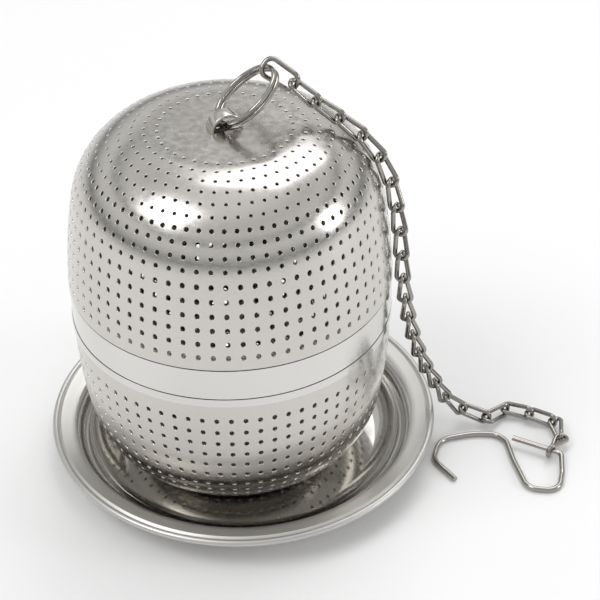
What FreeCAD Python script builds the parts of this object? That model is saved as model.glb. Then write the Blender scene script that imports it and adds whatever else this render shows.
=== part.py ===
import FreeCAD, Part
import math
import os
import Sketcher
from FreeCAD import Rotation, Vector, Placement

# Tea infuser of two perforated steel bowls that screw together, standing in a
# small drip saucer, with a split ring, a curb chain and a wire hook on the lid.
# The frame's origin is the middle of the saucer's foot, +Z is up, sizes in mm.

DIMS = {
    "sheet": 0.5,
    "sector": 60.0,
    "axis_x": -1.2,
    "foot_z": 0.7,
    "bowl_flat_r": 11.0,
    "bowl_bend_r": 13.5,
    "bowl_turn_r": 24.4,
    "bowl_turn_drop": 11.9,
    "wall_belly_r": 88.0,
    "wall_rim_r": 26.0,
    "wall_rim_drop": 26.6,
    "basket_rim_r": 25.7,
    "basket_rim_drop": 27.4,
    "lid_top_z": 61.8,
    "saucer_foot_r": 22.5,
    "saucer_wall_r": 27.0,
    "saucer_wall_z": 2.6,
    "saucer_well_r": 29.0,
    "saucer_ledge_z": 4.9,
    "saucer_edge_r": 31.8,
    "saucer_edge_z": 5.3,
    "saucer_sheet": 0.6,
    "saucer_bead": 0.55,
    "saucer_bend_low": 6.0,
    "saucer_bend_high": 3.6,
    "neck_in_r": 23.8,
    "neck_out_r": 24.4,
    "neck_skirt_z": 24.9,
    "neck_step_z": 27.3,
    "neck_ledge_z": 28.0,
    "neck_skirt_r": 25.08,
    "neck_top_z": 34.9,
    "lip_low_z": 28.2,
    "lip_high_z": 29.6,
    "lip_in_r": 24.8,
    "lip_out_r": 26.0,
    "collar_low_z": 29.7,
    "collar_ledge_z": 35.1,
    "collar_top_z": 37.5,
    "collar_out_r": 25.9,
    "collar_in_r": 25.2,
    "collar_skirt_r": 25.38,
    "collar_skirt_in_r": 24.8,
    "collar_web_z": 36.0,
    "thread_pitch": 3.0,
    "thread_rise": 3.0,
    "thread_root": 2.0,
    "thread_flank": 0.45,
    "thread_bite": 0.15,
    "male_crest_r": 25.0,
    "male_low_z": 29.8,
    "female_crest_r": 24.7,
    "female_low_z": 29.8,
    "arch_in_r": 2.2,
    "arch_out_r": 2.7,
    "arch_wide": 2.4,
    "coil_r": 5.5,
    "coil_wire": 0.7,
    "coil_pitch": 0.78,
    "link_wire": 0.76,
    "link_half_wide": 1.2,
    "link_bend": 0.9,
    "link_gap": 0.22,
    "link_pitch": 4.4,
    "hook_wire": 0.9,
}

# Hole rings of one bowl, counted from its middle outwards.
FIRST_RING_R = 10.34
DOME_ROW_PITCH = 2.02
WALL_ROW_PITCH = 2.42
DOME_ROWS = 10
ALL_ROWS = 16
FIRST_RING_HOLES = 36
HOLES_ADDED = 6
MOST_HOLES = 72
SMALL_HOLE_R = 0.28
WIDE_HOLE_R = 0.38
SMALL_ROWS = 6
RAY_FROM_SEAM = 2.5
BASKET_TURN = 25.5
LID_TURN = 20.5

# How the split ring leans and where the chain lies, in the lid's own frame.
RING_HOLD = (-0.4, -0.1, 62.75)
RING_HEADING = 29.4
RING_RISE = 35.0
RING_ROLL = 18.0
CHAIN_STAND_OFF = 1.8
HANGING_PATH = (
    (9.6, 3.5, 67.6),
    (12.5, 2.4, 65.4),
    (15.8, 1.2, 63.2),
)
SHOULDER_PATH = ((34.0, 0.0), (52.0, -3.0), (70.0, -6.0), (86.0, -8.0))
FALLING_PATH = (
    (26.75, -3.9, 43.5),
    (27.2, -4.6, 36.0),
    (27.9, -4.1, 30.5),
    (28.9, -3.2, 24.6),
    (30.4, -2.4, 18.9),
    (32.2, -1.6, 13.9),
    (34.7, -0.6, 8.6),
    (36.5, 0.0, 4.9),
    (38.6, 0.2, 2.9),
    (41.0, 0.3, 1.9),
)
FLOOR_HEIGHT = 1.48
FLOOR_HEADINGS = (-14.0, 34.0, -24.0, -34.0, -88.0, -130.0)
RING_REACH = 1.45
FIRST_STEP = Vector(0.82, -0.31, -0.49).normalize()
SETTLING_PASSES = 6
FIRST_LINK_HALF_WIDE = 1.55
FIRST_LINK_BEND = 1.2
HOOK_REACH = 1.03
HOOK_PATH = (
    (34.8, -14.6),
    (31.7, -9.6),
    (33.4, -4.6),
    (39.4, -3.5),
    (44.6, -4.0),
    (45.2, -10.5),
    (46.5, -17.6),
    (51.6, -18.6),
    (52.9, -14.2),
)
HOOK_BENDS = (0.0, 2.9, 3.6, 12.0, 3.2, 12.0, 2.6, 2.4, 2.6, 1.1, 0.0)
HOOK_LIFT = 0.06
EYE_STRAND_OUT = 1.9
EYE_STRAND_BACK = 6.9

doc = FreeCAD.newDocument("TeaInfuser")
sheet = doc.addObject("Spreadsheet::Sheet", "Dims")
for row, (alias, value) in enumerate(DIMS.items(), start=1):
    sheet.set("A%d" % row, alias)
    sheet.set("B%d" % row, str(value))
    sheet.setAlias("B%d" % row, alias)
doc.recompute()

UP = Vector(0, 0, 1)
AXIS = Vector(DIMS["axis_x"], 0, 0)
made = []


def amount(text):
    """The value of a sum such as "neck_out_r - sheet"."""
    total = 0.0
    sign = 1.0
    for word in text.split():
        if word in "+-":
            sign = -1.0 if word == "-" else 1.0
        else:
            total += sign * (DIMS[word] if word in DIMS else float(word))
    return total


def formula(text):
    """The same sum as a spreadsheet expression."""
    words = ["Dims." + word if word in DIMS else word for word in text.split()]
    return " ".join(words)


def keep(piece, name, placement):
    """Name a finished piece, put it in place and list it for export."""
    piece.Label = name
    piece.Placement = placement
    made.append(piece)
    return piece


def bowed_edge(a, b, radius, side):
    """An arc between two points, bowed to the left (1) or right (-1) of a to b."""
    chord = b - a
    left = Vector(-chord.y, chord.x, 0).normalize()
    to_middle = math.sqrt(radius * radius - (chord.Length / 2.0) ** 2)
    middle = (a + b) * 0.5 - left * to_middle * side
    first, last = (a, b) if side < 0 else (b, a)
    angles = [math.atan2(p.y - middle.y, p.x - middle.x) for p in (first, last)]
    return Part.ArcOfCircle(Part.Circle(middle, Vector(0, 0, 1), radius), *angles)


def outline(body, name, plane, corners):
    """A closed sketch through the corners.

    Each corner is (across, up, radius, side): a radius bows the edge that leaves
    the corner, to the left of its direction for side +1 and to the right for -1.
    """
    sketch = body.newObject("Sketcher::SketchObject", name)
    origin = [o for o in body.Origin.OriginFeatures if o.Role == plane][0]
    sketch.AttachmentSupport = [(origin, "")]
    sketch.MapMode = "FlatFace"
    points = [Vector(amount(c[0]), amount(c[1]), 0) for c in corners]
    count = len(corners)
    ends = []
    for i, corner in enumerate(corners):
        a, b = points[i], points[(i + 1) % count]
        if len(corner) == 2:
            sketch.addGeometry(Part.LineSegment(a, b), False)
            ends.append((1, 2))
            continue
        sketch.addGeometry(bowed_edge(a, b, amount(corner[2]), corner[3]), False)
        ends.append((1, 2) if corner[3] < 0 else (2, 1))
    for i in range(count):
        j = (i + 1) % count
        joint = Sketcher.Constraint("Coincident", i, ends[i][1], j, ends[j][0])
        sketch.addConstraint(joint)
    for i, corner in enumerate(corners):
        pin_corner(sketch, i, ends[i][0], corner[0], corner[1])
        if len(corner) > 2:
            number = sketch.addConstraint(Sketcher.Constraint("Radius", i, amount(corner[2])))
            sketch.setExpression("Constraints[%d]" % number, formula(corner[2]))
    doc.recompute()
    return sketch


def pin_corner(sketch, index, end, across, up):
    """Fix one end of an edge at the two given sums."""
    for kind, text, axis in (("DistanceX", across, -2), ("DistanceY", up, -1)):
        value = amount(text)
        if abs(value) < 1e-9:
            sketch.addConstraint(Sketcher.Constraint("PointOnObject", index, end, axis))
            continue
        number = sketch.addConstraint(Sketcher.Constraint(kind, -1, 1, index, end, value))
        sketch.setExpression("Constraints[%d]" % number, formula(text))


def turned_body(name, corners, sweep="360"):
    """A body of revolution about its own Z axis, all round or part of the way."""
    body = doc.addObject("PartDesign::Body", name)
    sketch = outline(body, name + "_profile", "XZ_Plane", corners)
    turn = body.newObject("PartDesign::Revolution", name + "_turn")
    turn.Profile = sketch
    turn.ReferenceAxis = (sketch, ["V_Axis"])
    turn.Angle = amount(sweep)
    turn.setExpression("Angle", formula(sweep))
    sketch.Visibility = False
    doc.recompute()
    return body


def add_thread(body, name, corners):
    """A helical ridge swept once round a ring's wall."""
    sketch = outline(body, name + "_ridge", "XZ_Plane", corners)
    ridge = body.newObject("PartDesign::AdditiveHelix", name + "_thread")
    ridge.Profile = sketch
    ridge.ReferenceAxis = (sketch, ["V_Axis"])
    ridge.Mode = 0
    ridge.Pitch = DIMS["thread_pitch"]
    ridge.Height = DIMS["thread_rise"]
    ridge.setExpression("Pitch", "Dims.thread_pitch")
    ridge.setExpression("Height", "Dims.thread_rise")
    sketch.Visibility = False
    doc.recompute()
    return ridge


def bowl_profile(rim_r, rim_drop):
    """The bowl's sheet section, with its flat end at z = 0 and its rim above."""
    return [
        ("0", "0"),
        ("bowl_flat_r", "0", "bowl_bend_r", -1),
        ("bowl_turn_r", "bowl_turn_drop", "wall_belly_r", -1),
        (rim_r, rim_drop),
        (rim_r + " - sheet", rim_drop, "wall_belly_r - sheet", 1),
        ("bowl_turn_r - sheet", "bowl_turn_drop", "bowl_bend_r - sheet", 1),
        ("bowl_flat_r", "sheet"),
        ("0", "sheet"),
    ]


def ring_places():
    """Each ring of holes as (radius, height, lean of the wall, hole count)."""
    turn = math.acos(1.0 - DIMS["bowl_turn_drop"] / DIMS["bowl_bend_r"])
    bend_length = DIMS["bowl_bend_r"] * turn
    places = []
    along = FIRST_RING_R
    for ring in range(ALL_ROWS):
        past_flat = along - DIMS["bowl_flat_r"]
        if past_flat <= 0:
            place = (along, 0.0, 0.0)
        elif past_flat <= bend_length:
            lean = past_flat / DIMS["bowl_bend_r"]
            radius = DIMS["bowl_flat_r"] + DIMS["bowl_bend_r"] * math.sin(lean)
            height = DIMS["bowl_bend_r"] * (1.0 - math.cos(lean))
            place = (radius, height, lean)
        else:
            up = past_flat - bend_length
            share = up / (DIMS["wall_rim_drop"] - DIMS["bowl_turn_drop"])
            widen = DIMS["wall_rim_r"] - DIMS["bowl_turn_r"]
            radius = DIMS["bowl_turn_r"] + widen * share
            place = (radius, DIMS["bowl_turn_drop"] + up, math.pi / 2.0)
        holes = min(FIRST_RING_HOLES + HOLES_ADDED * ring, MOST_HOLES)
        places.append(place + (holes,))
        along += DOME_ROW_PITCH if ring < DOME_ROWS - 1 else WALL_ROW_PITCH
    return places


def punches():
    """A round punch for each hole in one sector of a bowl standing on its flat end."""
    reach = 3.0 * DIMS["sheet"]
    sectors = int(360.0 / DIMS["sector"])
    tools = []
    for ring, (radius, height, lean, holes) in enumerate(ring_places()):
        hole_r = SMALL_HOLE_R if ring < SMALL_ROWS else WIDE_HOLE_R
        across = Vector(math.sin(lean), 0, -math.cos(lean))
        start = Vector(radius, 0, height) - across * reach
        punch = Part.makeCylinder(hole_r, 2.0 * reach, start, across)
        for hole in range(1, holes // sectors + 1):
            turned = punch.copy()
            turned.rotate(Vector(0, 0, 0), UP, 360.0 * hole / holes - RAY_FROM_SEAM)
            tools.append(turned)
    return Part.makeCompound(tools)


def joined_round(sector_shape):
    """A closed solid of revolution sewn from turned copies of one punched sector."""
    seam_turns = (0.0, DIMS["sector"])
    skin = []
    for face in sector_shape.Faces:
        middle = face.CenterOfMass
        flat = face.Surface.TypeId == "Part::GeomPlane"
        angle = math.degrees(math.atan2(middle.y, middle.x))
        on_seam = flat and any(abs(angle - turn) < 1e-6 for turn in seam_turns)
        upright = flat and abs(face.normalAt(0, 0).z) < 1e-6
        if not (on_seam and upright):
            skin.append(face)
    faces = []
    for copy in range(int(360.0 / DIMS["sector"])):
        for face in skin:
            turned = face.copy()
            turned.rotate(Vector(0, 0, 0), UP, copy * DIMS["sector"])
            faces.append(turned)
    shell = Part.Compound(faces)
    shell.sewShape()
    solid = Part.makeSolid(shell.Shells[0])
    if solid.Volume < 0:
        solid.reverse()
    return solid


def perforated(name, rim_r, rim_drop):
    """A bowl standing on its flat end, with every hole punched through it."""
    blank = turned_body(name + "_blank", bowl_profile(rim_r, rim_drop), "sector")
    tool = doc.addObject("Part::Feature", name + "_punches")
    tool.Shape = punches()
    cut = doc.addObject("Part::Cut", name + "_sector")
    cut.Base = blank
    cut.Tool = tool
    doc.recompute()
    bowl = doc.addObject("Part::Feature", name)
    bowl.Shape = joined_round(cut.Shape)
    return bowl


def solid_part(kind, name, sizes, placement):
    """A Part primitive whose sizes follow the sheet."""
    block = doc.addObject("Part::" + kind, name)
    for size, text in sizes.items():
        block.setExpression(size, formula(text))
    block.Placement = placement
    return block


def combined(kind, name, base, tool):
    """A Part boolean of two pieces."""
    result = doc.addObject("Part::" + kind, name)
    result.Base = base
    result.Tool = tool
    doc.recompute()
    return result


def standing(origin, along, up):
    """A placement whose X runs along one direction, with Z as near up as it can."""
    side = up.cross(along).normalize()
    return Placement(origin, Rotation(Vector(along), side, along.cross(side), "XYZ"))


# Saucer: a shallow dish pressed from sheet, with a flat ledge and a beaded edge.
saucer = turned_body("saucer", [
    ("0", "0"),
    ("saucer_foot_r", "0", "saucer_bend_low", -1),
    ("saucer_wall_r", "saucer_wall_z", "saucer_bend_high", 1),
    ("saucer_well_r", "saucer_ledge_z"),
    ("saucer_edge_r", "saucer_edge_z"),
    ("saucer_edge_r", "saucer_edge_z + saucer_sheet"),
    ("saucer_well_r - 0.1", "saucer_ledge_z + saucer_sheet", "saucer_bend_high + saucer_sheet", -1),
    ("saucer_wall_r - saucer_sheet", "saucer_wall_z + 0.1", "saucer_bend_low - saucer_sheet", 1),
    ("saucer_foot_r", "saucer_sheet"),
    ("0", "saucer_sheet"),
])
bead = saucer.newObject("Sketcher::SketchObject", "saucer_bead_section")
bead_plane = [o for o in saucer.Origin.OriginFeatures if o.Role == "XZ_Plane"][0]
bead.AttachmentSupport = [(bead_plane, "")]
bead.MapMode = "FlatFace"
bead_middle = Vector(amount("saucer_edge_r + 0.2"), amount("saucer_edge_z"), 0)
bead.addGeometry(Part.Circle(bead_middle, Vector(0, 0, 1), DIMS["saucer_bead"]), False)
limits = (
    ("Radius", (0,), "saucer_bead"),
    ("DistanceX", (-1, 1, 0, 3), "saucer_edge_r + 0.2"),
    ("DistanceY", (-1, 1, 0, 3), "saucer_edge_z"),
)
for kind, where, text in limits:
    number = bead.addConstraint(Sketcher.Constraint(kind, *where, amount(text)))
    bead.setExpression("Constraints[%d]" % number, formula(text))
bead_turn = saucer.newObject("PartDesign::Revolution", "saucer_bead_turn")
bead_turn.Profile = bead
bead_turn.ReferenceAxis = (bead, ["V_Axis"])
bead_turn.Angle = 360
doc.recompute()
keep(saucer, "saucer", Placement())

# Basket: the lower bowl stands loose in the saucer, on its own flat end.
basket = perforated("basket_shell", "basket_rim_r", "basket_rim_drop")
basket_seat = AXIS + UP * DIMS["foot_z"]
keep(basket, "basket_shell", Placement(basket_seat, Rotation(UP, BASKET_TURN)))

# Neck: the ring pressed into the basket's mouth, with the male thread on it.
neck = turned_body("basket_neck", [
    ("neck_in_r", "neck_step_z"),
    ("neck_in_r + 0.6", "neck_skirt_z"),
    ("neck_skirt_r", "neck_skirt_z"),
    ("neck_skirt_r", "neck_ledge_z"),
    ("neck_out_r", "neck_ledge_z"),
    ("neck_out_r", "neck_top_z"),
    ("neck_in_r", "neck_top_z"),
])
add_thread(neck, "neck", [
    ("neck_out_r - thread_bite", "male_low_z"),
    ("male_crest_r", "male_low_z + thread_flank"),
    ("male_crest_r", "male_low_z + thread_root - thread_flank"),
    ("neck_out_r - thread_bite", "male_low_z + thread_root"),
])
keep(neck, "basket_neck", Placement(AXIS, Rotation()))

# Lip ring: the plain ring between the basket's edge and the collar.
lip = turned_body("lip_ring", [
    ("lip_in_r", "lip_low_z"),
    ("lip_out_r", "lip_low_z"),
    ("lip_out_r", "lip_high_z"),
    ("lip_in_r", "lip_high_z"),
])
keep(lip, "lip_ring", Placement(AXIS, Rotation()))

# Collar: the broad plain band, pressed into the lid, with the female thread.
collar = turned_body("lid_collar", [
    ("collar_in_r", "collar_low_z"),
    ("collar_out_r", "collar_low_z"),
    ("collar_out_r", "collar_ledge_z"),
    ("collar_skirt_r", "collar_ledge_z"),
    ("collar_skirt_r", "collar_top_z"),
    ("collar_skirt_in_r", "collar_top_z"),
    ("collar_skirt_in_r", "collar_web_z"),
    ("collar_in_r", "collar_ledge_z"),
])
add_thread(collar, "collar", [
    ("collar_in_r + thread_bite", "female_low_z"),
    ("female_crest_r", "female_low_z + thread_flank"),
    ("female_crest_r", "female_low_z + thread_root - thread_flank"),
    ("collar_in_r + thread_bite", "female_low_z + thread_root"),
])
half_a_turn = Rotation(UP, 180)
keep(collar, "lid_collar", Placement(AXIS, half_a_turn))

# Lid: the upper bowl, upside down, with a strap pressed up from its flat top.
lid_bowl = perforated("lid_bowl", "wall_rim_r", "wall_rim_drop")
slot = solid_part("Box", "lid_slot", {
    "Length": "arch_in_r + arch_in_r",
    "Width": "arch_wide",
    "Height": "sheet + sheet",
}, Placement(Vector(-DIMS["arch_in_r"], -DIMS["arch_wide"] / 2.0, -DIMS["sheet"] / 2.0), Rotation()))
across_strap = Rotation(Vector(1, 0, 0), -90)
strap_edge = Vector(0, -DIMS["arch_wide"] / 2.0, 0)
strap_outside = solid_part("Cylinder", "strap_outside", {
    "Radius": "arch_out_r",
    "Height": "arch_wide",
}, Placement(strap_edge, across_strap))
strap_inside = solid_part("Cylinder", "strap_inside", {
    "Radius": "arch_in_r",
    "Height": "arch_wide",
}, Placement(strap_edge, across_strap))
strap_under = solid_part("Box", "strap_under", {
    "Length": "arch_out_r + arch_out_r",
    "Width": "arch_wide",
    "Height": "arch_out_r",
}, Placement(Vector(-DIMS["arch_out_r"], -DIMS["arch_wide"] / 2.0, DIMS["sheet"] / 2.0), Rotation()))
strap_band = combined("Cut", "strap_band", strap_outside, strap_inside)
strap = combined("Cut", "lid_strap", strap_band, strap_under)
lid_slotted = combined("Cut", "lid_slotted", lid_bowl, slot)
lid = combined("Fuse", "lid_shell", lid_slotted, strap)
upside_down = Rotation(UP, LID_TURN).multiply(Rotation(Vector(1, 0, 0), 180))
keep(lid, "lid_shell", Placement(AXIS + UP * DIMS["lid_top_z"], upside_down))


# Split ring: two turns of round wire through the strap.
def split_ring_frame():
    """The ring's middle, the direction from the strap to its far side, its axis."""
    heading = math.radians(RING_HEADING)
    rise = math.radians(RING_RISE)
    roll = math.radians(RING_ROLL)
    out = Vector(
        math.cos(rise) * math.cos(heading), math.cos(rise) * math.sin(heading), math.sin(rise)
    )
    level = Vector(math.sin(heading), -math.cos(heading), 0)
    tangent = level * math.cos(roll) + level.cross(out) * math.sin(roll)
    normal = out.cross(tangent).normalize()
    middle = AXIS + Vector(*RING_HOLD) + out * DIMS["coil_r"]
    return middle, out, normal


ring_middle, ring_out, ring_normal = split_ring_frame()
coil = doc.addObject("Part::Helix", "ring_coil")
coil.setExpression("Radius", "Dims.coil_r")
coil.setExpression("Pitch", "Dims.coil_pitch")
coil.setExpression("Height", "Dims.coil_pitch * 1.96")
coil_section = doc.addObject("Part::Circle", "ring_section")
coil_section.setExpression("Radius", "Dims.coil_wire / 2")
coil_section.Placement = Placement(Vector(DIMS["coil_r"], 0, 0), Rotation(Vector(1, 0, 0), 90))
ring = doc.addObject("Part::Sweep", "split_ring")
ring.Sections = [coil_section]
ring.Spine = (coil, ["Edge1"])
ring.Solid = True
ring.Frenet = True
doc.recompute()
ring_origin = ring_middle - ring_normal * (DIMS["coil_pitch"] * 0.98)
keep(ring, "split_ring", standing(ring_origin, ring_out * -1.0, ring_normal))


def chain_path():
    """The line that the chain lies along, from the split ring down to the table."""
    path = [AXIS + Vector(*point) for point in HANGING_PATH]
    dome_r = DIMS["bowl_bend_r"] + CHAIN_STAND_OFF
    dome_z = DIMS["lid_top_z"] - DIMS["bowl_bend_r"]
    for lean, azimuth in SHOULDER_PATH:
        out = DIMS["bowl_flat_r"] + dome_r * math.sin(math.radians(lean))
        up = dome_z + dome_r * math.cos(math.radians(lean))
        turn = math.radians(azimuth)
        path.append(AXIS + Vector(out * math.cos(turn), out * math.sin(turn), up))
    path += [AXIS + Vector(*point) for point in FALLING_PATH]
    return path


def next_on_path(path, start, reach):
    """The furthest point on the path that is one reach from the start point."""
    found = None
    for a, b in zip(path, path[1:]):
        run = b - a
        away = a - start
        half = away.dot(run) / run.dot(run)
        root = half * half - (away.dot(away) - reach * reach) / run.dot(run)
        if root >= 0 and 0.0 <= -half + math.sqrt(root) <= 1.0:
            found = a + run * (math.sqrt(root) - half)
    return found


def along_floor(heading, start, reach):
    """The point on the table's level that is one reach from the start point."""
    turn = math.radians(heading)
    drop = start.z - FLOOR_HEIGHT
    run = math.sqrt(reach * reach - drop * drop)
    return Vector(start.x + math.cos(turn) * run, start.y + math.sin(turn) * run, FLOOR_HEIGHT)


def hooked_link(before, levelling, aim):
    """A link as (near bar, far bar, step, side), hooked through the link before it.

    The two bars that touch stay one reach apart along their common normal, so
    neither cuts the other however sharply the chain bends between them. The side
    follows the link before, turned towards the level by a share of 0 to 1.
    """
    bar = before[2].cross(before[3])
    lean = Vector(before[2])
    for _ in range(SETTLING_PASSES):
        near = before[1] - lean * BAR_REACH
        far = aim(near)
        if far is None:
            return None
        step = (far - near).normalize()
        carried = before[3] - step * before[3].dot(step)
        level = UP.cross(step).normalize()
        side = (carried * (1.0 - levelling) + level * levelling).normalize()
        lean = side.cross(bar).normalize()
    return near, far, step, side


def chain_links(first):
    """Every link from the split ring's to the hook's, each from the one before."""
    path = chain_path()
    links = [first]
    while True:
        link = hooked_link(links[-1], 0.2, lambda near: next_on_path(path, near, LINK_LONG))
        if link is None:
            break
        links.append(link)
    for heading in FLOOR_HEADINGS:
        link = hooked_link(links[-1], 1.0, lambda near: along_floor(heading, near, LINK_LONG))
        links.append(link)
    return links


def bent_wire(corners, bends, wire, closed):
    """Round wire bent at each corner, made of straight rods and parts of tori."""
    count = len(corners)
    starts = list(corners)
    ends = list(corners)
    pieces = []
    for i, corner in enumerate(corners):
        if not closed and i in (0, count - 1):
            continue
        before = (corners[i - 1] - corner).normalize()
        after = (corners[(i + 1) % count] - corner).normalize()
        half_angle = before.getAngle(after) / 2.0
        setback = bends[i] / math.tan(half_angle)
        starts[i] = corner + before * setback
        ends[i] = corner + after * setback
        centre = corner + (before + after).normalize() * (bends[i] / math.sin(half_angle))
        disc = Part.Face(Part.Wire([Part.Circle(starts[i], before, wire / 2.0).toShape()]))
        axis = (starts[i] - centre).cross(ends[i] - centre).normalize()
        sweep = 180.0 - math.degrees(2.0 * half_angle)
        pieces.append(disc.revolve(centre, axis, sweep))
    for i in range(count if closed else count - 1):
        run = starts[(i + 1) % count] - ends[i]
        if run.Length > 1e-6:
            pieces.append(Part.makeCylinder(wire / 2.0, run.Length, ends[i], run))
    return pieces[0].multiFuse(pieces[1:]).removeSplitter()


def oval_link(half_long, half_wide, bend, wire, twist):
    """A closed link whose far end is turned by the twist from its near end."""
    across = math.cos(twist)
    up = math.sin(twist)
    corners = [
        Vector(-half_long, half_wide, 0),
        Vector(-half_long, -half_wide, 0),
        Vector(half_long, -half_wide * across, -half_wide * up),
        Vector(half_long, half_wide * across, half_wide * up),
    ]
    return bent_wire(corners, [bend] * 4, wire, True).Solids[0]


def wire_piece(name, shape, placement):
    """A piece of bent wire under its own name."""
    piece = doc.addObject("Part::Feature", name)
    piece.Shape = shape
    return keep(piece, name, placement)


# Chain: twisted oval links, each hooked through the one before it.
BAR_REACH = DIMS["link_wire"] + DIMS["link_gap"]
LINK_LONG = DIMS["link_pitch"] + BAR_REACH
ring_far = ring_middle + ring_out * DIMS["coil_r"]
first_near = ring_far - FIRST_STEP * RING_REACH
first_far = ring_far + FIRST_STEP * DIMS["link_pitch"]
level_side = UP.cross(FIRST_STEP).normalize()
links = chain_links((first_near, first_far, FIRST_STEP, level_side))
standard_link = oval_link(
    LINK_LONG / 2.0,
    DIMS["link_half_wide"],
    DIMS["link_bend"],
    DIMS["link_wire"],
    math.pi / 2.0,
)
first_side = (ring_out - FIRST_STEP * ring_out.dot(FIRST_STEP)).normalize()
first_up = FIRST_STEP.cross(first_side)
next_up = FIRST_STEP.cross(level_side)
first_twist = math.atan2(next_up.dot(first_up), next_up.dot(first_side))
first_link = oval_link(
    (DIMS["link_pitch"] + RING_REACH) / 2.0,
    FIRST_LINK_HALF_WIDE,
    FIRST_LINK_BEND,
    DIMS["link_wire"],
    first_twist,
)
for i, (near, far, step, side) in enumerate(links):
    across = side if i else first_side
    shape = standard_link if i else first_link
    turn = Rotation(step, across, step.cross(across), "XYZ")
    wire_piece("link_%02d" % (i + 1), shape, Placement((near + far) * 0.5, turn))

# Hook: one wire with an open crook, its eye closed by crossing over the shank.
eye_hold = links[-1][1] - links[-1][2] * HOOK_REACH
strand = Vector(0.86, -0.50, 0).normalize()
lying = DIMS["hook_wire"] / 2.0 + HOOK_LIFT
hook_corners = [Vector(x, y, lying) for x, y in HOOK_PATH]
hook_corners.append(eye_hold + strand * EYE_STRAND_OUT)
hook_corners.append(eye_hold - strand * EYE_STRAND_BACK)
hook = bent_wire(hook_corners, HOOK_BENDS, DIMS["hook_wire"], False)
wire_piece("hook", hook.Solids[0], Placement())

doc.recompute()
for piece in doc.Objects:
    if "Invalid" in piece.State or "Error" in piece.State:
        raise RuntimeError("%s did not recompute" % piece.Name)
os.makedirs("parts", exist_ok=True)
for piece in made:
    shape = piece.Shape
    if shape.isNull() or not shape.isValid() or len(shape.Solids) != 1:
        raise RuntimeError("%s is not one valid solid" % piece.Label)
    shape.exportStep(os.path.join("parts", piece.Label + ".step"))
    print(piece.Label, round(shape.Volume, 2))
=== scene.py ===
# %% [markdown]
# # Tea infuser of perforated stainless steel
#
# Two thin bowls full of punched holes screw together and stand in a small drip
# saucer. A split ring, a chain and a wire hook hang from the lid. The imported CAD
# model says where each piece stands; this script makes the surfaces that catch the
# light: the bowls with their rounded holes, the pressed saucer and the steels.

# %%
import math
import bpy
import numpy as np
from mathutils import Matrix, Vector


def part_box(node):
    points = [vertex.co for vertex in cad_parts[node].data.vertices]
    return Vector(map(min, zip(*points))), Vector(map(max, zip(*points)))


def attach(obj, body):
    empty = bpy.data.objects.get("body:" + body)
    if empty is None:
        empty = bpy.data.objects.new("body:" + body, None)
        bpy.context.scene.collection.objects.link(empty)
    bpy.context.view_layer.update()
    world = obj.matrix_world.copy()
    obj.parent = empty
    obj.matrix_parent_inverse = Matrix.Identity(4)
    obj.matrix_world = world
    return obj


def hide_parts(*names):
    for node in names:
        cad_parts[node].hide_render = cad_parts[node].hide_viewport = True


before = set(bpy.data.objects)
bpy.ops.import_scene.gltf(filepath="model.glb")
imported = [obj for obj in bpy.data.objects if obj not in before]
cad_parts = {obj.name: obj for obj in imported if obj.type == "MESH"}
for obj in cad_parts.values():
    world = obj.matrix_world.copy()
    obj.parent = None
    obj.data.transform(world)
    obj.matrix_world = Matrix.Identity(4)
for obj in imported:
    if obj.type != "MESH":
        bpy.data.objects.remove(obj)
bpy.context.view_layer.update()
MM = 0.001

# %% [markdown]
# ## Steel
#
# One function makes each kind of steel. Polished sheet is never a perfect mirror:
# rolling leaves faint waves, and washing leaves fine marks in every direction. The
# waves are a weak bump of large noise, and the marks change the roughness a little.

# %%
MARK_SCALE = 900.0
WAVE_SCALE = 130.0
GRAIN_SCALE = 4000.0
WAVE_HEIGHT = 0.4 * MM
GRAIN_HEIGHT = 0.02 * MM


def noise(tree, scale, detail, stretch, at):
    """A noise texture on Object coordinates, stretched by the three factors."""
    place = tree.nodes.new("ShaderNodeTexCoord")
    place.location = (at[0] - 600, at[1])
    size = tree.nodes.new("ShaderNodeMapping")
    size.location = (at[0] - 400, at[1])
    size.inputs["Scale"].default_value = stretch
    texture = tree.nodes.new("ShaderNodeTexNoise")
    texture.location = at
    texture.inputs["Scale"].default_value = scale
    texture.inputs["Detail"].default_value = detail
    tree.links.new(place.outputs["Object"], size.inputs["Vector"])
    tree.links.new(size.outputs["Vector"], texture.inputs["Vector"])
    return texture.outputs["Fac"]


def spread(tree, value, low, high, at):
    """Turn a 0.3 to 0.7 noise value into the range low to high."""
    ramp = tree.nodes.new("ShaderNodeMapRange")
    ramp.location = at
    ramp.inputs["From Min"].default_value = 0.3
    ramp.inputs["From Max"].default_value = 0.7
    ramp.inputs["To Min"].default_value = low
    ramp.inputs["To Max"].default_value = high
    tree.links.new(value, ramp.inputs["Value"])
    return ramp.outputs["Result"]


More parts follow.
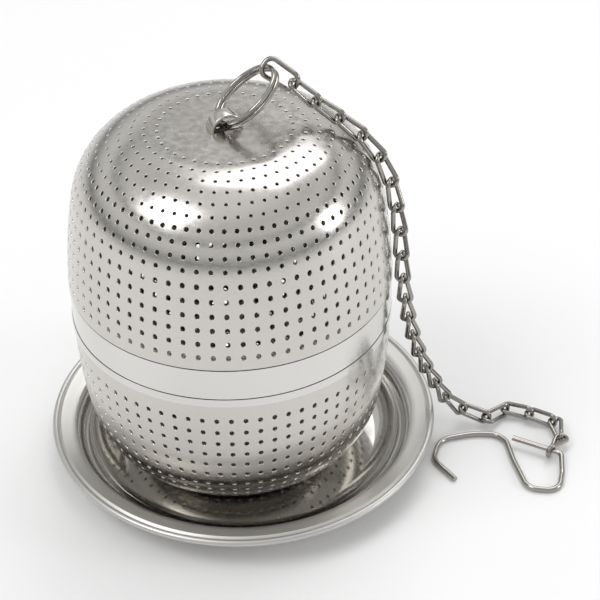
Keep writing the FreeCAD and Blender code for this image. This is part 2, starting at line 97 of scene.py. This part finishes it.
def steel(name, colour, rough, waves, grain):
    """Stainless steel: rough is (low, high), waves and grain are bump strengths."""
    made = bpy.data.materials.new(name)
    made.use_nodes = True
    tree = made.node_tree
    shader = tree.nodes["Principled BSDF"]
    shader.inputs["Metallic"].default_value = 1.0
    shader.inputs["Base Color"].default_value = (*colour, 1.0)
    marks = noise(tree, MARK_SCALE, 6.0, (1.0, 1.0, 2.5), (-700, 100))
    roughness = spread(tree, marks, *rough, (-450, 100))
    tree.links.new(roughness, shader.inputs["Roughness"])
    wave = tree.nodes.new("ShaderNodeBump")
    wave.location = (-450, -200)
    wave.inputs["Strength"].default_value = waves
    wave.inputs["Distance"].default_value = WAVE_HEIGHT
    slow = noise(tree, WAVE_SCALE, 1.0, (1.0, 1.0, 0.6), (-700, -200))
    tree.links.new(slow, wave.inputs["Height"])
    fine = tree.nodes.new("ShaderNodeBump")
    fine.location = (-250, -200)
    fine.inputs["Strength"].default_value = grain
    fine.inputs["Distance"].default_value = GRAIN_HEIGHT
    quick = noise(tree, GRAIN_SCALE, 3.0, (1.0, 1.0, 0.15), (-700, -500))
    tree.links.new(quick, fine.inputs["Height"])
    tree.links.new(wave.outputs["Normal"], fine.inputs["Normal"])
    tree.links.new(fine.outputs["Normal"], shader.inputs["Normal"])
    return made


bowl_steel = steel("bowl_steel", (0.62, 0.60, 0.565), (0.17, 0.28), 0.22, 0.10)
band_steel = steel("band_steel", (0.70, 0.69, 0.665), (0.12, 0.20), 0.06, 0.12)
wire_steel = steel("wire_steel", (0.40, 0.385, 0.36), (0.10, 0.20), 0.05, 0.05)
chain_steel = steel("chain_steel", (0.34, 0.325, 0.30), (0.12, 0.24), 0.05, 0.05)
print("steels:", [m.name for m in bpy.data.materials])

# %% [markdown]
# The saucer is one sheet with two finishes. Its ledge and edge are satin, turned
# round and round by a brush, and its well is polished. The distance from the middle
# picks the finish, and noise on that distance alone draws the brush's circles.

# %%
BRUSH_SCALE = 6000.0
FINISH_EDGE = 0.3 * MM


def saucer_steel(satin_from):
    """Polished inside the given radius and satin outside it."""
    made = steel("saucer_steel", (0.60, 0.59, 0.565), (0.08, 0.14), 0.10, 0.05)
    tree = made.node_tree
    shader = tree.nodes["Principled BSDF"]
    polished = shader.inputs["Roughness"].links[0].from_socket
    place = tree.nodes.new("ShaderNodeTexCoord")
    place.location = (-1500, 700)
    flat = tree.nodes.new("ShaderNodeVectorMath")
    flat.operation = "MULTIPLY"
    flat.location = (-1300, 700)
    flat.inputs[1].default_value = (1.0, 1.0, 0.0)
    away = tree.nodes.new("ShaderNodeVectorMath")
    away.operation = "LENGTH"
    away.location = (-1100, 700)
    lines = tree.nodes.new("ShaderNodeTexNoise")
    lines.noise_dimensions = "1D"
    lines.location = (-900, 850)
    lines.inputs["Scale"].default_value = BRUSH_SCALE
    lines.inputs["Detail"].default_value = 4.0
    edge = tree.nodes.new("ShaderNodeMapRange")
    edge.location = (-900, 600)
    edge.inputs["From Min"].default_value = satin_from - FINISH_EDGE
    edge.inputs["From Max"].default_value = satin_from + FINISH_EDGE
    mix = tree.nodes.new("ShaderNodeMix")
    mix.location = (-250, 500)
    tree.links.new(place.outputs["Object"], flat.inputs[0])
    tree.links.new(flat.outputs["Vector"], away.inputs[0])
    tree.links.new(away.outputs["Value"], lines.inputs["W"])
    tree.links.new(away.outputs["Value"], edge.inputs["Value"])
    tree.links.new(edge.outputs["Result"], mix.inputs["Factor"])
    tree.links.new(polished, mix.inputs["A"])
    brushed = spread(tree, lines.outputs["Fac"], 0.34, 0.46, (-600, 850))
    tree.links.new(brushed, mix.inputs["B"])
    tree.links.new(mix.outputs["Result"], shader.inputs["Roughness"])
    return made


# %% [markdown]
# ## Surfaces as arrays
#
# Every new piece is a numpy array of points with its faces. One function puts such
# arrays into a Blender mesh, and it can also take the exact normals: on a mirror,
# normals worked out from the true surface reflect far better than averaged ones.

# %%
SHARP_ANGLE = math.radians(35)


def put_in(name, points, faces, material, body, normals=None):
    """A smooth mesh from arrays of points (in metres) and faces, riding on a body."""
    mesh = bpy.data.meshes.new(name)
    mesh.from_pydata(points.tolist(), [], faces)
    mesh.validate()
    mesh.materials.append(material)
    mesh.polygons.foreach_set("use_smooth", np.ones(len(mesh.polygons), bool))
    if normals is None:
        mesh.set_sharp_from_angle(angle=SHARP_ANGLE)
    else:
        mesh.normals_split_custom_set_from_vertices(normals.tolist())
    piece = bpy.data.objects.new(name, mesh)
    bpy.context.scene.collection.objects.link(piece)
    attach(piece, body)
    print(name, "triangles:", sum(len(p.vertices) - 2 for p in mesh.polygons))
    return piece


def arc(a, b, radius, side, count):
    """Points from a to b on a circle: bowed left of a-to-b for side 1, right for -1."""
    a = np.array(a, float)
    b = np.array(b, float)
    chord = b - a
    left = np.array([-chord[1], chord[0]]) / np.linalg.norm(chord)
    middle = (a + b) / 2 - left * side * math.sqrt(radius ** 2 - chord @ chord / 4)
    start = math.atan2(*(a - middle)[::-1])
    end = math.atan2(*(b - middle)[::-1])
    sweep = (end - start + math.pi) % (2 * math.pi) - math.pi
    turn = start + sweep * np.linspace(0, 1, count)
    return middle + radius * np.stack([np.cos(turn), np.sin(turn)], -1)


def lathe(name, outline, material, body, turns):
    """An outline of (radius, height) in mm, turned about the upright axis.

    The outline starts and ends on the axis. Those two points stay single, so the
    poles are closed, and every other point goes round in equal steps.
    """
    outline = np.array(outline, float)
    ring = outline[1:-1]
    angle = np.linspace(0, 2 * np.pi, turns, endpoint=False)
    x = ring[:, :1] * np.cos(angle) * MM
    y = ring[:, :1] * np.sin(angle) * MM
    z = np.repeat(ring[:, 1:] * MM, turns, axis=1)
    poles = [(0.0, 0.0, outline[0, 1] * MM), (0.0, 0.0, outline[-1, 1] * MM)]
    points = np.concatenate([np.stack([x, y, z], -1).reshape(-1, 3), poles])
    i, j = np.meshgrid(np.arange(len(ring) - 1), np.arange(turns), indexing="ij")
    low = i * turns
    high = low + turns
    m = (j + 1) % turns
    quads = np.stack([low + j, low + m, high + m, high + j], -1).reshape(-1, 4)
    first_pole = np.full(turns, len(ring) * turns)
    a = np.arange(turns)
    b = (a + 1) % turns
    last = (len(ring) - 1) * turns
    start_fan = np.stack([first_pole, b, a], -1)
    end_fan = np.stack([first_pole + 1, last + a, last + b], -1)
    return put_in(name, points, quads.tolist() + start_fan.tolist() + end_fan.tolist(), material, body)


# %% [markdown]
# ## A perforated bowl
#
# The real bowl is punched flat and then drawn into shape, so its holes lie in rings
# and their edges are a little rounded. Each hole sits in its own cell of the sheet,
# given by the length along the wall and the angle round the axis. A cell's square
# edge is joined to the hole's edge, the edge rolls in, and a short wall goes through
# to the inside. Rings with different numbers of holes are joined by a zigzag of
# triangles. The wall's own formula then bends the flat pattern into the bowl.

# %%
SHEET = 0.5
BASKET_RIM_R = 25.7
BASKET_DEEP = 27.4
LID_RIM_R = 26.0
LID_DEEP = 26.6
FLAT_R = 11.0
BEND_R = 13.5
BEND_TURN = math.radians(79.0)
FIRST_RING = 10.34
DOME_PITCH = 2.02
WALL_PITCH = 2.42
RINGS = 16
DOME_RINGS = 10
COUNTS = np.minimum(36 + 6 * np.arange(RINGS), 72)
RAY = math.radians(23.0)
SMALL_RINGS = 6
SMALL_HOLE = (0.27, 0.27)
DOME_HOLE = (0.35, 0.38)
WALL_HOLE = (0.38, 0.47)
SIDE_STEPS = 4
GAP = 0.1
ROLL = 0.07
FIRST_MARGIN = 1.0
LAST_MARGIN = 1.21
EDGE_LEAN = 0.85
POLE_R = 0.3
RIM_STEPS = 4
WELD_STEPS = 2e4
STRAP_TURN = math.radians(20.5)
SLOT_LONG = 4.4
SLOT_WIDE = 2.4


def wall_shape(rim_r, rim_drop):
    """The wall above the bend as (arc radius, length): an arc tangent to the bend."""
    r = FLAT_R + BEND_R * math.sin(BEND_TURN)
    z = BEND_R * (1 - math.cos(BEND_TURN))
    chord = math.hypot(rim_r - r, rim_drop - z)
    half = math.atan2(rim_drop - z, rim_r - r) - BEND_TURN
    radius = chord / (2 * math.sin(half))
    return radius, 2 * half * radius


def section(s, rim_r, rim_drop):
    """Radius, height and lean at a length s along the bowl's outside."""
    radius = wall_shape(rim_r, rim_drop)[0]
    bend_end = FLAT_R + BEND_R * BEND_TURN
    lean = np.clip((s - FLAT_R) / BEND_R, 0, BEND_TURN)
    r = np.minimum(s, FLAT_R) + BEND_R * np.sin(lean)
    z = BEND_R * (1 - np.cos(lean))
    more = np.maximum(s - bend_end, 0) / radius
    r = r + radius * (np.sin(BEND_TURN + more) - math.sin(BEND_TURN))
    z = z + radius * (math.cos(BEND_TURN) - np.cos(BEND_TURN + more))
    return r, z, lean + more


def hole_loop(s_mid, r_mid, half_size, way, grow):
    """An oval round one hole's middle, as lengths along the wall and angles."""
    across, along = half_size
    return s_mid + (along + grow) * np.sin(way), (across + grow) * np.cos(way) / r_mid


def cells(s_mid, r_mid, count, low, high, half_size):
    """One ring of hole cells as flat rows of (s, angle, depth, three normal shares).

    Loops per hole: the cell's outer edge, the edge of the roll, the hole's edge,
    the hole's inner edge and the cell's inner edge, all with the same point count.
    """
    steps = np.arange(SIDE_STEPS) / SIDE_STEPS * 2 - 1
    one = np.ones(SIDE_STEPS)
    u = np.concatenate([steps, one, -steps, -one])
    v = np.concatenate([-one, steps, one, -steps])
    half = math.pi / count
    edge_s = np.where(v < 0, s_mid + v * (s_mid - low), s_mid + v * (high - s_mid))
    edge_t = u * half
    way = np.arctan2(v * half_size[1], u * half_size[0])
    c = -EDGE_LEAN * np.cos(way)
    n = -EDGE_LEAN * np.sin(way)
    flat = np.zeros_like(c)
    rolled_s, rolled_t = hole_loop(s_mid, r_mid, half_size, way, ROLL)
    mouth_s, mouth_t = hole_loop(s_mid, r_mid, half_size, way, 0.0)
    loops = [
        np.stack([edge_s, edge_t, flat, flat, flat + 1, flat], -1),
        np.stack([rolled_s, rolled_t, flat, flat, flat + 1, flat], -1),
        np.stack([mouth_s, mouth_t, flat + ROLL, n, flat + 0.5, c], -1),
        np.stack([mouth_s, mouth_t, flat + SHEET, n, flat - 0.5, c], -1),
        np.stack([edge_s, edge_t, flat + SHEET, flat, flat - 1, flat], -1),
    ]
    ring = np.concatenate(loops)
    turns = RAY + 2 * math.pi * np.arange(count) / count
    rows = np.repeat(ring[None], count, axis=0)
    rows[:, :, 1] += turns[:, None]
    size = len(c)
    loop, k = np.meshgrid(np.arange(4), np.arange(size), indexing="ij")
    m = (k + 1) % size
    here = loop * size
    there = here + size
    quad = np.stack([here + k, here + m, there + m, there + k], -1).reshape(-1, 4)
    quads = (np.arange(count)[:, None, None] * len(ring) + quad[None]).reshape(-1, 4)
    return rows.reshape(-1, 6), quads


def zip_loops(a_count, b_count):
    """Triangles between two loops that start on one ray, the second's points last."""
    a_mid = (np.arange(a_count) + 0.5) / a_count
    b_mid = (np.arange(b_count) + 0.5) / b_count
    a = np.arange(a_count)
    b = np.arange(b_count)
    a_apex = np.searchsorted(b_mid, a_mid, side="left") % b_count
    b_apex = np.searchsorted(a_mid, b_mid, side="right") % a_count
    from_a = np.stack([a, (a + 1) % a_count, a_count + a_apex], -1)
    from_b = np.stack([a_count + (b + 1) % b_count, a_count + b, b_apex], -1)
    return np.concatenate([from_a, from_b])


class Skin:
    """Rows of flat bowl points and faces, gathered piece by piece."""

    def __init__(self):
        self.rows = []
        self.faces = []
        self.count = 0

    def add(self, rows, faces):
        self.rows.append(rows)
        self.faces.append(np.asarray(faces) + self.count)
        self.count += len(rows)

    def strip(self, low, high, turn_over):
        """Join two loops of rows; turn_over makes the faces look the other way."""
        faces = zip_loops(len(low), len(high))
        self.add(np.concatenate([low, high]), faces[:, ::-1] if turn_over else faces)


def loop_at(s, count, depth, normal):
    """A level loop at one length along the wall."""
    turn = RAY + 2 * math.pi * np.arange(count) / count
    s = np.broadcast_to(s, (count,))
    return np.concatenate([s[:, None], turn[:, None], np.tile([depth, *normal], (count, 1))], 1)


def both_sides(skin, s_low, n_low, s_high, n_high):
    """A plain strip of sheet between two levels, outside and inside."""
    for depth, normal, turn_over in ((0.0, (0, 1, 0), False), (SHEET, (0, -1, 0), True)):
        low = loop_at(s_low, n_low, depth, normal)
        high = loop_at(s_high, n_high, depth, normal)
        skin.strip(low, high, turn_over)


def slot_edge(count):
    """How far the slot's rectangle reaches at each step round the axis."""
    turn = RAY + 2 * math.pi * np.arange(count) / count - STRAP_TURN
    to_end = SLOT_LONG / 2 / np.abs(np.cos(turn)).clip(1e-6)
    to_side = SLOT_WIDE / 2 / np.abs(np.sin(turn)).clip(1e-6)
    return np.minimum(to_end, to_side)


def hole_rings(skin, rim_r, rim_drop):
    """Add every ring of holes and the strips between; return the cells' limits."""
    number = np.arange(RINGS)
    ring_s = FIRST_RING + DOME_PITCH * np.minimum(number, DOME_RINGS - 1)
    ring_s = ring_s + WALL_PITCH * np.maximum(number - DOME_RINGS + 1, 0)
    between = (ring_s[1:] + ring_s[:-1]) / 2
    limits = np.concatenate([[ring_s[0] - FIRST_MARGIN], between, [ring_s[-1] + LAST_MARGIN]])
    ring_r = section(ring_s, rim_r, rim_drop)[0]
    for i in range(RINGS):
        half_size = SMALL_HOLE if i < SMALL_RINGS else DOME_HOLE if i < DOME_RINGS else WALL_HOLE
        skin.add(*cells(ring_s[i], ring_r[i], COUNTS[i], limits[i] + GAP, limits[i + 1] - GAP, half_size))
    for i in range(1, RINGS):
        low, high = COUNTS[i - 1:i + 1] * SIDE_STEPS
        both_sides(skin, limits[i] - GAP, low, limits[i] + GAP, high)
    return limits


def rim(skin, low_s, rim_s, count):
    """Plain sheet from the last holes up to a rounded rim."""
    half = SHEET / 2
    levels = np.linspace(low_s, rim_s - half, 4)
    for low, high in zip(levels, levels[1:]):
        both_sides(skin, low, count, high, count)
    turns = np.arange(RIM_STEPS + 1) * math.pi / RIM_STEPS
    loops = []
    for turn in turns:
        reach = rim_s - half + half * math.sin(turn)
        normal = (math.sin(turn), math.cos(turn), 0)
        loops.append(loop_at(reach, count, half * (1 - math.cos(turn)), normal))
    for low, high in zip(loops, loops[1:]):
        skin.strip(low, high, False)


def flat_end(skin, outer, count, with_slot):
    """The flat middle of the bowl, closed or with the strap's slot cut out."""
    inner = slot_edge(count) if with_slot else POLE_R
    middle = [outer + (inner - outer) * share for share in (0.0, 0.35, 0.7, 1.0)]
    for high, low in zip(middle, middle[1:]):
        both_sides(skin, low, count, high, count)
    if with_slot:
        inside = loop_at(inner, count, SHEET, (-1, 0, 0))
        skin.strip(inside, loop_at(inner, count, 0.0, (-1, 0, 0)), False)
        return
    for depth, up in ((0.0, 1), (SHEET, -1)):
        pole = np.array([[0.0, RAY, depth, 0, up, 0]])
        edge = np.arange(count)
        fan = np.stack([np.zeros(count, int), 1 + (edge + 1) % count, 1 + edge], -1)
        skin.add(np.concatenate([pole, loop_at(inner, count, depth, (0, up, 0))]), fan[:, ::up])


def perforated(rim_r, rim_drop, with_slot):
    """A whole bowl standing on its flat end: points (mm), faces and normals."""
    rim_s = FLAT_R + BEND_R * BEND_TURN + wall_shape(rim_r, rim_drop)[1]
    skin = Skin()
    limits = hole_rings(skin, rim_r, rim_drop)
    rim(skin, limits[-1] - GAP, rim_s, COUNTS[-1] * SIDE_STEPS)
    flat_end(skin, limits[0] + GAP, COUNTS[0] * SIDE_STEPS, with_slot)
    return bent(skin, rim_r, rim_drop)


def bent(skin, rim_r, rim_drop):
    """Weld the gathered rows where they meet and bend them into the bowl."""
    rows = np.concatenate(skin.rows)
    r, z, lean = section(rows[:, 0], rim_r, rim_drop)
    depth, along, out, round_ = rows[:, 2], rows[:, 3], rows[:, 4], rows[:, 5]
    sin, cos = np.sin(lean), np.cos(lean)
    radius = r - depth * sin
    height = z + depth * cos
    c, n = np.cos(rows[:, 1]), np.sin(rows[:, 1])
    points = np.stack([radius * c, radius * n, height], -1)
    n_r = along * cos + out * sin
    n_z = along * sin - out * cos
    normals = np.stack([n_r * c - round_ * n, n_r * n + round_ * c, n_z], -1)
    normals /= np.linalg.norm(normals, axis=1)[:, None]
    key = np.round(points * WELD_STEPS).astype(np.int64)
    _, first, back = np.unique(key, axis=0, return_index=True, return_inverse=True)
    back = back.reshape(-1)
    faces = [face for group in skin.faces for face in back[group].tolist()]
    return points[first], faces, normals[first]


# %% [markdown]
# The basket stands on its flat end. The lid is the same kind of bowl upside down,
# and its flat top has a slot where the small strap was pressed up.

# %%
basket_low, basket_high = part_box("basket_shell")
axis_x = (basket_low.x + basket_high.x) / 2 / MM
lid_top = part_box("lid_shell")[0].z / MM + LID_DEEP


def bowl_piece(name, node, rim_r, rim_drop, foot_z, upside_down, body, with_slot):
    """Put one perforated bowl where its CAD node is."""
    points, faces, normals = perforated(rim_r, rim_drop, with_slot)
    if upside_down:
        points = points * (1, 1, -1)
        normals = normals * (1, 1, -1)
        faces = [face[::-1] for face in faces]
    points = (points + (axis_x, 0.0, foot_z)) * MM
    piece = put_in(name, points, faces, bowl_steel, body, normals)
    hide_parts(node)
    return piece


foot_z = basket_low.z / MM
bowl_piece("basket_bowl", "basket_shell", BASKET_RIM_R, BASKET_DEEP, foot_z, False, "basket", False)
bowl_piece("lid_bowl", "lid_shell", LID_RIM_R, LID_DEEP, lid_top, True, "lid", True)


# %% [markdown]
# ## Strap
#
# The strap is a narrow band of the lid's own sheet, pushed up into a half round so
# that the split ring can pass under it. Its edges are rounded by the press.

# %%
STRAP_CORNER = 0.4
STRAP_SUNK = 0.06
STRAP_CORNERS = 32
STRAP_STEPS = 49


def strap(name, inner_r, outer_r, wide, body):
    """Half a flat ring standing on the lid: a rounded section turned half round."""
    thick = outer_r - inner_r
    corner = thick * STRAP_CORNER
    turn = np.linspace(0, 2 * np.pi, STRAP_CORNERS, endpoint=False)
    across = np.sign(np.cos(turn)) * (wide / 2 - corner) + corner * np.cos(turn)
    through = np.sign(np.sin(turn)) * (thick / 2 - corner) + corner * np.sin(turn)
    bow = np.linspace(-STRAP_SUNK, math.pi + STRAP_SUNK, STRAP_STEPS)
    r = (inner_r + outer_r) / 2 + through
    x = np.cos(bow)[:, None] * r
    z = np.sin(bow)[:, None] * r
    y = np.broadcast_to(across, x.shape)
    c, n = math.cos(STRAP_TURN), math.sin(STRAP_TURN)
    points = np.stack([x * c - y * n + axis_x, x * n + y * c, z + lid_top], -1)
    points = points.reshape(-1, 3) * MM
    size = len(turn)
    i, j = np.meshgrid(np.arange(len(bow) - 1), np.arange(size), indexing="ij")
    m = (j + 1) % size
    here = i * size
    there = here + size
    quads = np.stack([here + j, there + j, there + m, here + m], -1)
    faces = quads.reshape(-1, 4).tolist()
    faces.append(list(range(size)))
    faces.append(list(range(len(points) - 1, len(points) - 1 - size, -1)))
    return put_in(name, points, faces, bowl_steel, body)


strap_piece = strap("lid_strap", 2.2, 2.7, 2.4, "lid")

# %% [markdown]
# ## Saucer
#
# The saucer is pressed from thin sheet: a flat floor, a rounded wall, a flat ledge
# and an edge rolled over into a bead. One closed outline is turned about its middle.

# %%
FOOT_R = 22.5
SAUCER_SHEET = 0.6
BEAD_R = 0.55
BEAD_Z = 5.3
SATIN_FROM = 28.6
SAUCER_TURNS = 360
saucer_low, saucer_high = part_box("saucer")
bead_mid = (saucer_high.x - saucer_low.x) / 2 / MM - BEAD_R
bead_turn = np.radians(np.linspace(-150, 150, 25))
bead_edge = np.stack([bead_mid + BEAD_R * np.cos(bead_turn), BEAD_Z + BEAD_R * np.sin(bead_turn)], -1)
saucer_outline = [(0.0, 0.0)]
saucer_outline += arc((FOOT_R, 0.0), (27.0, 2.6), 6.0, -1, 14).tolist()
saucer_outline += arc((27.0, 2.6), (29.0, 4.9), 3.6, 1, 10)[1:].tolist()
saucer_outline += [(29.4, 4.95), (bead_mid - 0.6, BEAD_Z - 0.15)]
saucer_outline += bead_edge.tolist()
saucer_outline += [(bead_mid - 0.62, BEAD_Z + 0.42), (bead_mid - 0.9, BEAD_Z + 0.56), (29.6, 5.58)]
saucer_outline += arc((28.9, 5.5), (26.4, 2.7), 4.2, -1, 12).tolist()
saucer_outline += arc((26.4, 2.7), (FOOT_R, SAUCER_SHEET), 5.4, 1, 14)[1:].tolist()
saucer_outline += [(0.0, SAUCER_SHEET)]
pressed_steel = saucer_steel(SATIN_FROM * MM)
saucer = lathe("saucer_dish", saucer_outline, pressed_steel, "saucer", SAUCER_TURNS)
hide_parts("saucer")

# %% [markdown]
# ## Band, ring, chain and hook
#
# These stay as the CAD model has them, with their threads and every link, and take
# the steels from above.

# %%
for node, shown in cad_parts.items():
    if node.startswith("link_"):
        finish = chain_steel
    elif node in ("split_ring", "hook"):
        finish = wire_steel
    else:
        finish = band_steel
    shown.data.materials.clear()
    shown.data.materials.append(finish)
print("CAD nodes with new steel:", len(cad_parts))

# %% [markdown]
# ## Table, light and camera
#
# A pale table, two large soft lights, a smaller one from the side and a sky of grey
# bands. Polished steel shows only what is round it, so the dark and bright bands are
# what draws the lid's shoulder.

# %%
def plain(name, colour, rough):
    """A plain matt paint."""
    made = bpy.data.materials.new(name)
    made.use_nodes = True
    shader = made.node_tree.nodes["Principled BSDF"]
    shader.inputs["Base Color"].default_value = (*colour, 1.0)
    shader.inputs["Roughness"].default_value = rough
    return made


TABLE_HALF = 3.0
TABLE_DROP = 0.02 * MM
corners = [(x * TABLE_HALF, y * TABLE_HALF, 0) for x, y in ((-1, -1), (1, -1), (1, 1), (-1, 1))]
floor_mesh = bpy.data.meshes.new("table_top")
floor_mesh.from_pydata(corners, [], [(0, 1, 2, 3)])
floor_mesh.materials.append(plain("table_paint", (0.93, 0.93, 0.93), 0.6))
floor = bpy.data.objects.new("table_top", floor_mesh)
floor.location.z = -TABLE_DROP
bpy.context.scene.collection.objects.link(floor)


def soft_light(name, place, aim, size, power):
    """A square soft box that looks at a point."""
    lamp = bpy.data.lights.new(name, "AREA")
    lamp.size = size
    lamp.energy = power
    holder = bpy.data.objects.new(name, lamp)
    holder.location = place
    holder.rotation_euler = (Vector(aim) - Vector(place)).to_track_quat("-Z", "Y").to_euler()
    bpy.context.scene.collection.objects.link(holder)


soft_light("key_light", (-0.35, -0.15, 0.55), (0, 0, 0.03), 0.30, 1.1)
soft_light("back_light", (0.15, 0.34, 0.60), (0, 0, 0.03), 0.40, 1.2)
soft_light("side_light", (0.55, -0.10, 0.22), (0, 0, 0.03), 0.16, 0.5)

world = bpy.data.worlds.new("room")
world.use_nodes = True
room = world.node_tree
background = room.nodes["Background"]
direction = room.nodes.new("ShaderNodeTexCoord")
split = room.nodes.new("ShaderNodeSeparateXYZ")
grade = room.nodes.new("ShaderNodeValToRGB")
grade.color_ramp.elements[0].position = 0.0
grade.color_ramp.elements[0].color = (0.30, 0.30, 0.31, 1)
grade.color_ramp.elements[1].position = 1.0
grade.color_ramp.elements[1].color = (0.85, 0.85, 0.85, 1)
SKY_BANDS = ((0.08, 0.16), (0.20, 0.62), (0.42, 0.85), (0.52, 0.22), (0.62, 0.75), (0.80, 0.60))
for position, level in SKY_BANDS:
    stop = grade.color_ramp.elements.new(position)
    stop.color = (level, level, level, 1)
room.links.new(direction.outputs["Generated"], split.inputs["Vector"])
room.links.new(split.outputs["Z"], grade.inputs["Fac"])
room.links.new(grade.outputs["Color"], background.inputs["Color"])
bpy.context.scene.world = world

CAMERA_YAW = -0.0498
CAMERA_DOWN = 0.649
CAMERA_ROLL = -0.0115
CAMERA_PLACE = (axis_x * MM, -0.2222, 0.1971)
lens = bpy.data.cameras.new("camera")
lens.lens = 102.4
lens.sensor_width = 36.0
lens.clip_start = 0.01
camera = bpy.data.objects.new("camera", lens)
bpy.context.scene.collection.objects.link(camera)
yaw = Matrix.Rotation(CAMERA_YAW, 4, "Z")
pitch = Matrix.Rotation(math.pi / 2 - CAMERA_DOWN, 4, "X")
roll = Matrix.Rotation(CAMERA_ROLL, 4, "Z")
camera.matrix_world = Matrix.Translation(CAMERA_PLACE) @ yaw @ pitch @ roll
bpy.context.scene.camera = camera
bpy.context.scene.view_settings.view_transform = "Standard"
